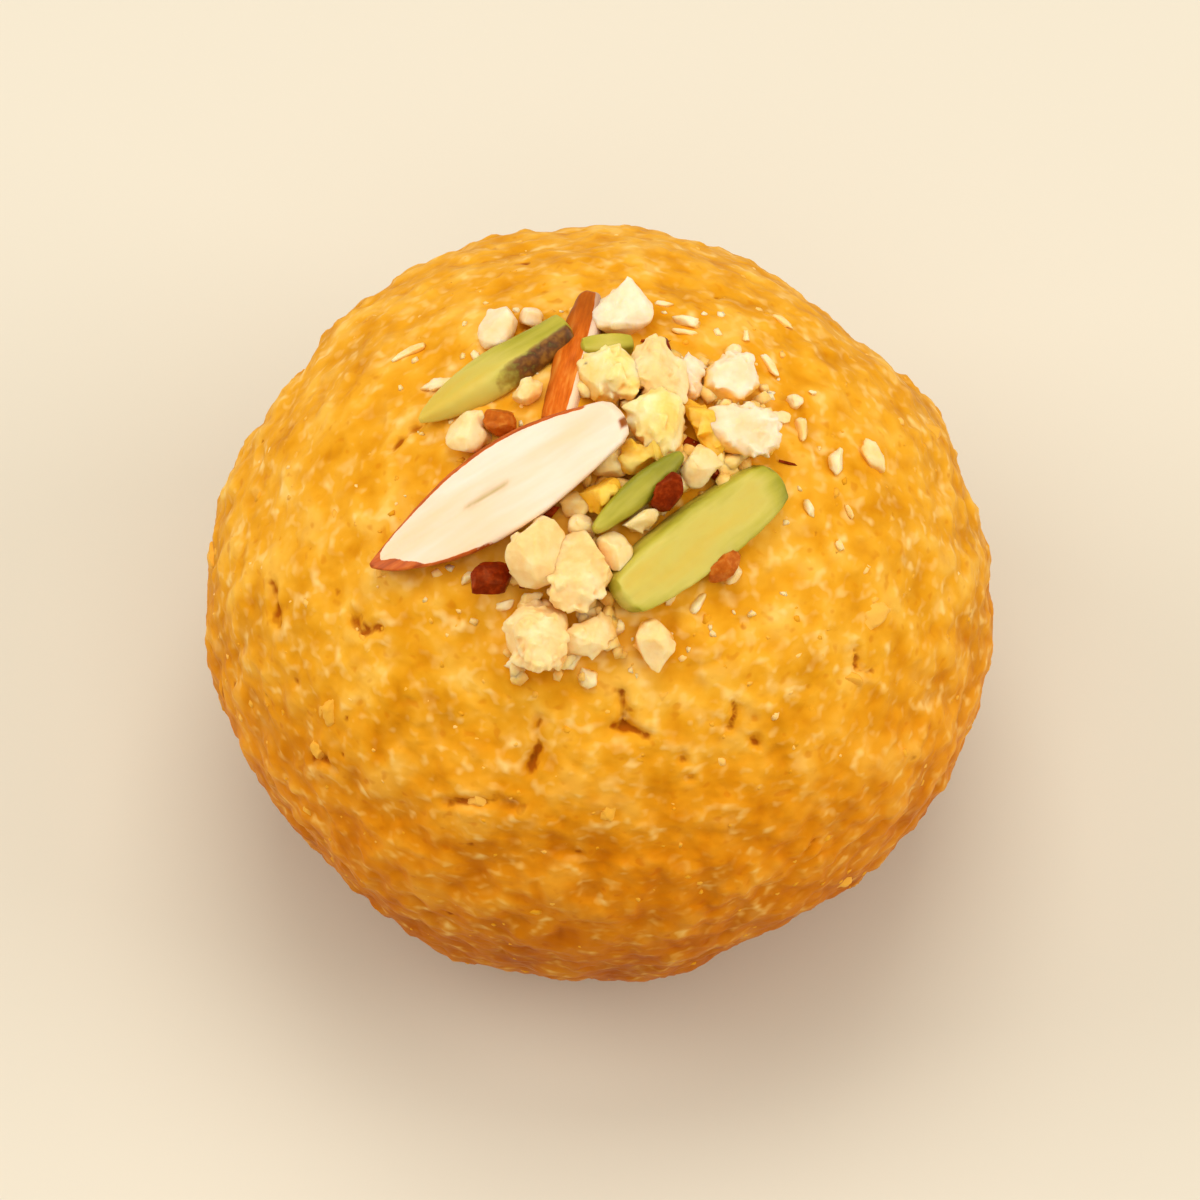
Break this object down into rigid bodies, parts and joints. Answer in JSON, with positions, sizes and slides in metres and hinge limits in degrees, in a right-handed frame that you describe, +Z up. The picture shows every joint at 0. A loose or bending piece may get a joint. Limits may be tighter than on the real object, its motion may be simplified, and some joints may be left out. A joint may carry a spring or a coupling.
{
  "type": "besan ladoo",
  "caption": "Round gram-flour sweet pressed by hand from grainy golden paste, with cut almond, slivered pistachio and chopped cashew on its crown.",
  "frame": {"origin": "middle of the small flat patch on the underside that the sweet rests on", "axes": "+Z is up through the garnished crown, -Y is the front, towards the viewer, and +X is to the viewer's right"},
  "size_m": [0.0498, 0.0495, 0.0426],
  "materials": {
    "paste": "moist granular gram-flour paste with a soft ghee sheen",
    "almond": "cut almond flesh, cream and matt",
    "almond_skin": "almond skin, orange-brown, lightly glossy",
    "pistachio": "cut pistachio kernel, yellow-green to green, waxy",
    "cashew": "broken cashew, pale cream and crumbly",
    "cashew_inner": "cashew soaked in ghee, yellow and slightly translucent"
  },
  "bodies": {
    "root": {"almond_slice": "almond", "almond_sliver": "almond_skin", "pistachio_right": "pistachio", "pistachio_left": "pistachio", "pistachio_middle": "pistachio", "pistachio_back": "pistachio", "skin_bit_front": "almond_skin", "skin_bit_middle": "almond_skin", "skin_bit_left": "almond_skin", "skin_bit_right": "almond_skin", "skin_bit_back": "almond_skin", "cashew_peak": "cashew", "cashew_front": "cashew", "cashew_right": "cashew", "cashew_middle": "cashew", "cashew_under_slice": "cashew", "cashew_ridged": "cashew", "cashew_yellow_back": "cashew_inner", "cashew_yellow_middle": "cashew_inner", "cashew_yellow_right": "cashew_inner", "cashew_far_right": "cashew", "cashew_alone": "cashew", "cashew_yellow_low": "cashew_inner", "cashew_beside_slice": "cashew_inner", "cashew_between": "cashew", "cashew_low_front": "cashew", "cashew_left": "almond", "cashew_lone_left": "cashew", "cashew_by_pistachio": "almond", "cashew_inner_right": "cashew", "cashew_crumb_back": "cashew", "almond_crumb_left": "almond", "almond_crumb_gap": "almond", "cashew_crumb_low": "cashew", "ladoo": "paste"}
  },
  "joints": []
}
